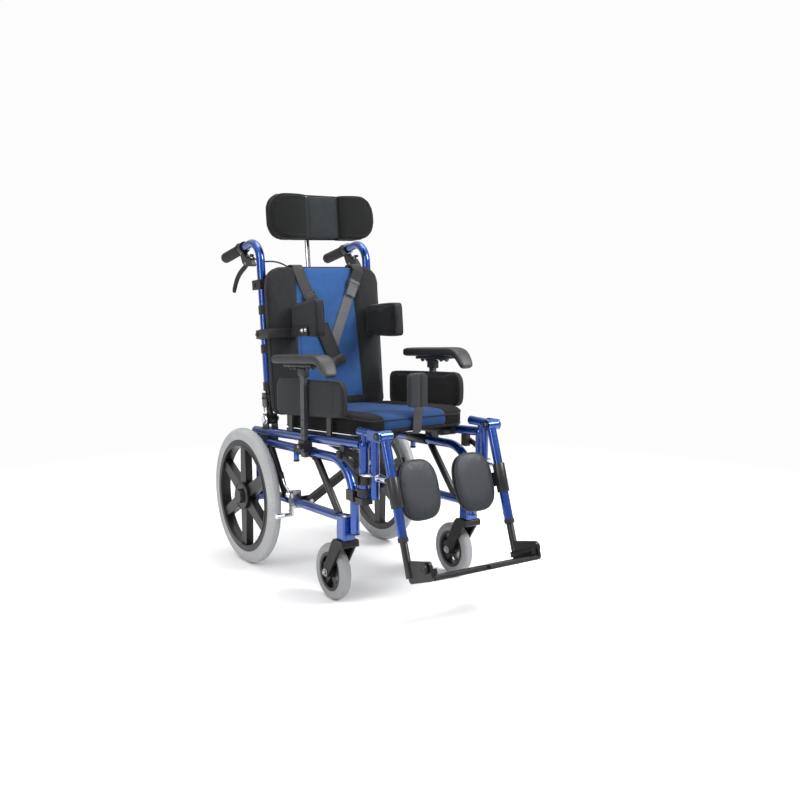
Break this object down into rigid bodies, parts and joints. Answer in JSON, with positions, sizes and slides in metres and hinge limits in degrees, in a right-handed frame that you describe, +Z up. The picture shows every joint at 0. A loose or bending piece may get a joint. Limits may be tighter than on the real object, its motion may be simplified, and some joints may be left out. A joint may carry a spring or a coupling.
{
  "type": "reclining child wheelchair",
  "caption": "Child's reclining postural wheelchair with a cross-brace folding frame, elevating legrests, trunk and hip guides, headrest and push-handle brakes.",
  "frame": {"origin": "on the floor, under the middle of the bounding box", "axes": "+X to the occupant's left, -Y forward, +Z up"},
  "size_m": [0.53, 1.0924, 1.082],
  "materials": {
    "blue_paint": "gloss",
    "black_paint": "satin",
    "steel": "satin",
    "chrome": "polished",
    "grey_alloy": "satin",
    "black_plastic": "matte",
    "grip_rubber": "matte",
    "grey_tyre": "matte",
    "black_cloth": "matte",
    "two_tone_cloth": "matte",
    "webbing": "matte",
    "pu_pad": "satin"
  },
  "bodies": {
    "base_r": {"side_frame_r": "blue_paint", "frame_fittings_r": "black_paint", "frame_hardware_r": "steel", "hip_pad_r": "black_cloth"},
    "base_l": {"side_frame_l": "blue_paint", "frame_fittings_l": "black_paint", "frame_hardware_l": "steel", "hip_pad_l": "black_cloth"},
    "brace_a": {"brace_a": "black_paint"},
    "brace_b": {"brace_b": "black_paint"},
    "seat": {"seat_cushion": "two_tone_cloth", "pommel": "pu_pad"},
    "back_r": {"cane_r": "blue_paint", "grip_r": "grip_rubber", "back_fittings_r": "black_paint", "back_cushion": "two_tone_cloth", "harness": "webbing", "brake_cable_r": "black_plastic"},
    "back_l": {"cane_l": "blue_paint", "grip_l": "grip_rubber", "back_fittings_l": "black_paint", "brake_cable_l": "black_plastic"},
    "wheel_r": {"rear_tyre_r": "grey_tyre", "rear_rim_r": "black_plastic"},
    "fork_r": {"castor_fork_r": "black_paint"},
    "castor_r": {"castor_tyre_r": "grey_tyre", "castor_hub_r": "black_plastic"},
    "arm_r": {"arm_post_r": "grey_alloy", "arm_pad_r": "pu_pad"},
    "cuff_r": {"swing_cuff_r": "black_plastic"},
    "hanger_r": {"legrest_hanger_r": "blue_paint"},
    "leg_r": {"leg_tube_r": "blue_paint"},
    "foot_r": {"foot_tube_r": "black_paint"},
    "plate_r": {"footplate_r": "black_plastic"},
    "calf_r": {"calf_bracket_r": "black_paint", "calf_pad_r": "pu_pad"},
    "latch_r": {"swing_latch_r": "black_paint"},
    "lever_r": {"brake_lever_r": "black_paint"},
    "lock_r": {"wheel_lock_r": "chrome"},
    "lateral_r": {"lateral_pad_r": "black_cloth"},
    "wheel_l": {"rear_tyre_l": "grey_tyre", "rear_rim_l": "black_plastic"},
    "fork_l": {"castor_fork_l": "black_paint"},
    "castor_l": {"castor_tyre_l": "grey_tyre", "castor_hub_l": "black_plastic"},
    "arm_l": {"arm_post_l": "grey_alloy", "arm_pad_l": "pu_pad"},
    "cuff_l": {"swing_cuff_l": "black_plastic"},
    "hanger_l": {"legrest_hanger_l": "blue_paint"},
    "leg_l": {"leg_tube_l": "blue_paint"},
    "foot_l": {"foot_tube_l": "black_paint"},
    "plate_l": {"footplate_l": "black_plastic"},
    "calf_l": {"calf_bracket_l": "black_paint", "calf_pad_l": "pu_pad"},
    "latch_l": {"swing_latch_l": "black_paint"},
    "lever_l": {"brake_lever_l": "black_paint"},
    "lock_l": {"wheel_lock_l": "chrome"},
    "lateral_l": {"lateral_pad_l": "black_cloth"},
    "head_post": {"headrest_post": "chrome"},
    "head": {"headrest_pad": "black_cloth"}
  },
  "joints": [
    {"name": "fold", "type": "hinge", "parent": "base_r", "child": "brace_a", "pos_m": [-0.165, 0.045, 0.225], "axis": [0, -1, 0], "range_deg": [0, 27], "deforming": ["seat_cushion", "pommel", "back_cushion", "harness"]},
    {"name": "fold_cross", "type": "hinge", "parent": "brace_a", "child": "brace_b", "pos_m": [0, 0.0325, 0.32165], "axis": [0, -1, 0], "range_deg": [-54.5, 0.5]},
    {"name": "fold_left_side", "type": "hinge", "parent": "brace_b", "child": "base_l", "pos_m": [0.165, 0.02, 0.225], "axis": [0, -1, 0], "range_deg": [-0.5, 27.5]},
    {"name": "fold_seat", "type": "hinge", "parent": "brace_b", "child": "seat", "pos_m": [-0.15, 0.02, 0.4097], "axis": [0, -1, 0], "range_deg": [-0.5, 27.5]},
    {"name": "recline", "type": "hinge", "parent": "base_r", "child": "back_r", "pos_m": [-0.18, 0.2516, 0.43], "axis": [-1, 0, 0], "range_deg": [0, 55]},
    {"name": "recline_left", "type": "hinge", "parent": "base_l", "child": "back_l", "pos_m": [0.18, 0.2516, 0.43], "axis": [-1, 0, 0], "range_deg": [-0.5, 55.5]},
    {"name": "wheel_r_spin", "type": "hinge", "parent": "base_r", "child": "wheel_r", "pos_m": [-0.234, 0.305, 0.2], "axis": [1, 0, 0], "continuous": true},
    {"name": "castor_r_swivel", "type": "hinge", "parent": "base_r", "child": "fork_r", "pos_m": [-0.198, -0.207, 0.2], "axis": [0, 0, 1], "continuous": true},
    {"name": "castor_r_spin", "type": "hinge", "parent": "fork_r", "child": "castor_r", "pos_m": [-0.198, -0.141, 0.075], "axis": [1, 0, 0], "continuous": true},
    {"name": "arm_r_height", "type": "slide", "parent": "base_r", "child": "arm_r", "axis": [0, 0, 1], "range_m": [0, 0.03]},
    {"name": "fold_legrest_r", "type": "hinge", "parent": "base_r", "child": "cuff_r", "pos_m": [-0.184, -0.274, 0.343], "axis": [0, 0, -1], "range_deg": [-0.5, 22.5]},
    {"name": "legrest_r_swing", "type": "hinge", "parent": "cuff_r", "child": "hanger_r", "pos_m": [-0.184, -0.274, 0.4], "axis": [0, 0, -1], "range_deg": [0, 75]},
    {"name": "legrest_r_elevate", "type": "hinge", "parent": "hanger_r", "child": "leg_r", "pos_m": [-0.166, -0.341, 0.459], "axis": [-1, 0, 0], "range_deg": [0, 65]},
    {"name": "foot_r_length", "type": "slide", "parent": "leg_r", "child": "foot_r", "axis": [0, -0.3173, -0.9483], "range_m": [-0.045, 0.05]},
    {"name": "footplate_r_flip", "type": "hinge", "parent": "foot_r", "child": "plate_r", "pos_m": [-0.152, -0.49377, 0.15054], "axis": [0, -0.9483, 0.3173], "range_deg": [0, 90]},
    {"name": "calf_pad_r_swing", "type": "hinge", "parent": "leg_r", "child": "calf_r", "pos_m": [-0.166, -0.38606, 0.32434], "axis": [0, -0.3173, -0.9483], "range_deg": [0, 80]},
    {"name": "latch_r_lift", "type": "hinge", "parent": "base_r", "child": "latch_r", "pos_m": [-0.206, -0.196, 0.392], "axis": [-1, 0, 0], "range_deg": [0, 18], "stiffness_Nm_per_rad": 0.2},
    {"name": "brake_lever_r_squeeze", "type": "hinge", "parent": "back_r", "child": "lever_r", "pos_m": [-0.18, 0.38708, 0.88096], "axis": [1, 0, 0], "range_deg": [0, 20], "stiffness_Nm_per_rad": 0.8},
    {"name": "wheel_lock_r_set", "type": "hinge", "parent": "base_r", "child": "lock_r", "pos_m": [-0.208, 0.08, 0.241], "axis": [1, 0, 0], "range_deg": [0, 28]},
    {"name": "lateral_r_swing", "type": "hinge", "parent": "back_r", "child": "lateral_r", "pos_m": [-0.18, 0.27605, 0.67579], "axis": [0, -0.099, -0.9951], "range_deg": [0, 60]},
    {"name": "wheel_l_spin", "type": "hinge", "parent": "base_l", "child": "wheel_l", "pos_m": [0.234, 0.305, 0.2], "axis": [1, 0, 0], "continuous": true},
    {"name": "castor_l_swivel", "type": "hinge", "parent": "base_l", "child": "fork_l", "pos_m": [0.198, -0.207, 0.2], "axis": [0, 0, 1], "continuous": true},
    {"name": "castor_l_spin", "type": "hinge", "parent": "fork_l", "child": "castor_l", "pos_m": [0.198, -0.141, 0.075], "axis": [1, 0, 0], "continuous": true},
    {"name": "arm_l_height", "type": "slide", "parent": "base_l", "child": "arm_l", "axis": [0, 0, 1], "range_m": [0, 0.03]},
    {"name": "fold_legrest_l", "type": "hinge", "parent": "base_l", "child": "cuff_l", "pos_m": [0.184, -0.274, 0.343], "axis": [0, 0, 1], "range_deg": [-0.5, 22.5]},
    {"name": "legrest_l_swing", "type": "hinge", "parent": "cuff_l", "child": "hanger_l", "pos_m": [0.184, -0.274, 0.4], "axis": [0, 0, 1], "range_deg": [0, 75]},
    {"name": "legrest_l_elevate", "type": "hinge", "parent": "hanger_l", "child": "leg_l", "pos_m": [0.166, -0.341, 0.459], "axis": [-1, 0, 0], "range_deg": [0, 65]},
    {"name": "foot_l_length", "type": "slide", "parent": "leg_l", "child": "foot_l", "axis": [0, -0.3173, -0.9483], "range_m": [-0.045, 0.05]},
    {"name": "footplate_l_flip", "type": "hinge", "parent": "foot_l", "child": "plate_l", "pos_m": [0.152, -0.49377, 0.15054], "axis": [0, 0.9483, -0.3173], "range_deg": [0, 90]},
    {"name": "calf_pad_l_swing", "type": "hinge", "parent": "leg_l", "child": "calf_l", "pos_m": [0.166, -0.38606, 0.32434], "axis": [0, 0.3173, 0.9483], "range_deg": [0, 80]},
    {"name": "latch_l_lift", "type": "hinge", "parent": "base_l", "child": "latch_l", "pos_m": [0.206, -0.196, 0.392], "axis": [-1, 0, 0], "range_deg": [0, 18], "stiffness_Nm_per_rad": 0.2},
    {"name": "brake_lever_l_squeeze", "type": "hinge", "parent": "back_l", "child": "lever_l", "pos_m": [0.18, 0.38708, 0.88096], "axis": [1, 0, 0], "range_deg": [0, 20], "stiffness_Nm_per_rad": 0.8},
    {"name": "wheel_lock_l_set", "type": "hinge", "parent": "base_l", "child": "lock_l", "pos_m": [0.208, 0.08, 0.241], "axis": [1, 0, 0], "range_deg": [0, 28]},
    {"name": "lateral_l_swing", "type": "hinge", "parent": "back_l", "child": "lateral_l", "pos_m": [0.18, 0.27605, 0.67579], "axis": [0, 0.099, 0.9951], "range_deg": [0, 60]},
    {"name": "headrest_height", "type": "slide", "parent": "back_r", "child": "head_post", "axis": [0, 0.099, 0.9951], "range_m": [0, 0.06]},
    {"name": "headrest_tilt", "type": "hinge", "parent": "head_post", "child": "head", "pos_m": [0, 0.35258, 1.01086], "axis": [1, 0, 0], "range_deg": [-15, 15]}
  ],
  "couplings": [
    {"joint": "fold_cross", "follows": "fold", "ratio": -2},
    {"joint": "fold_left_side", "follows": "fold", "ratio": 1},
    {"joint": "fold_seat", "follows": "fold", "ratio": 1},
    {"joint": "recline_left", "follows": "recline", "ratio": 1},
    {"joint": "fold_legrest_r", "follows": "fold", "ratio": 0.81481},
    {"joint": "fold_legrest_l", "follows": "fold", "ratio": 0.81481}
  ]
}
